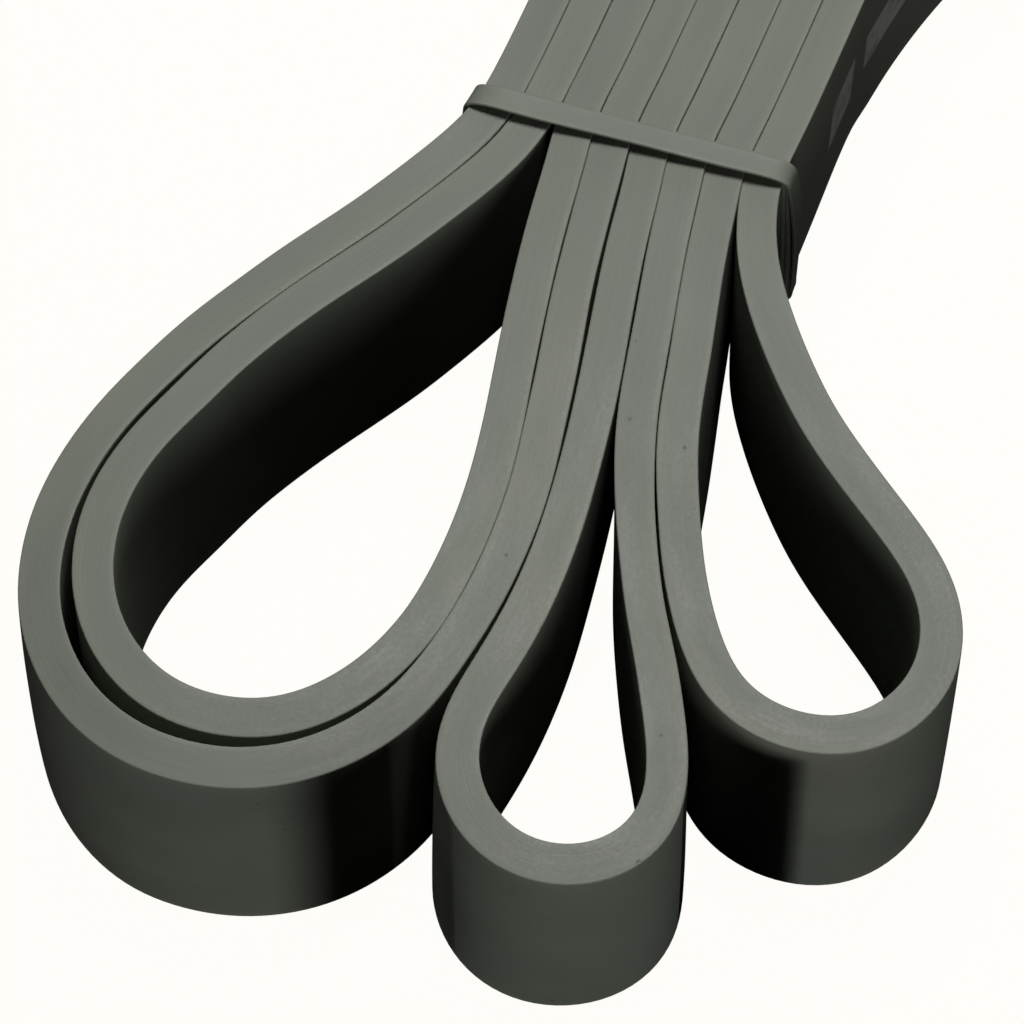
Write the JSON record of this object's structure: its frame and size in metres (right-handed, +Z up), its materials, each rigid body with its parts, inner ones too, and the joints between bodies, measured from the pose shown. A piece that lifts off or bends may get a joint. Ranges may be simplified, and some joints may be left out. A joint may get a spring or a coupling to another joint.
{
  "type": "layered latex loop strap",
  "caption": "Flat endless latex strap for stretching and resistance work, folded into a bundle on its edge with open loops in front and held by a small rubber band.",
  "frame": {"origin": "centre of the footprint, on the surface that the strap's edge stands on", "axes": "+Y along the bundle from the open front loops to the rear folds, +X across the layers to the right, +Z up, along the strap's width"},
  "size_m": [0.0982, 0.2406, 0.034],
  "materials": {
    "strap_latex": "satin grey-green layered latex",
    "band_rubber": "satin grey-green rubber band"
  },
  "bodies": {
    "bundle": {"back_outer_loop": "strap_latex", "back_second_loop": "strap_latex", "back_third_loop": "strap_latex", "back_inner_loop": "strap_latex"},
    "left_loop": {"front_left_outer_loop": "strap_latex", "front_left_inner_loop": "strap_latex"},
    "centre_loop": {"front_centre_loop": "strap_latex"},
    "right_loop": {"front_right_loop": "strap_latex"},
    "band": {"band_inner_turn": "band_rubber", "band_middle_turn": "band_rubber", "band_outer_turn": "band_rubber"}
  },
  "joints": [
    {"name": "left_loop_swing", "type": "hinge", "parent": "bundle", "child": "left_loop", "pos_m": [-0.02282, -0.03127, 0.016], "axis": [0, 0, -1], "range_deg": [0, 10], "stiffness_Nm_per_rad": 0.04},
    {"name": "right_loop_swing", "type": "hinge", "parent": "bundle", "child": "right_loop", "pos_m": [0.01288, -0.03127, 0.016], "axis": [0, 0, 1], "range_deg": [0, 10], "stiffness_Nm_per_rad": 0.02},
    {"name": "centre_loop_follow", "type": "hinge", "parent": "bundle", "child": "centre_loop", "pos_m": [0.00388, -0.03127, 0.016], "axis": [0, 0, 1], "range_deg": [0, 5], "stiffness_Nm_per_rad": 0.02},
    {"name": "band_slide", "type": "slide", "parent": "bundle", "child": "band", "axis": [0.03, 0.9996, 0], "range_m": [0, 0.02]}
  ],
  "couplings": [
    {"joint": "centre_loop_follow", "follows": "right_loop_swing", "ratio": 0.5}
  ]
}
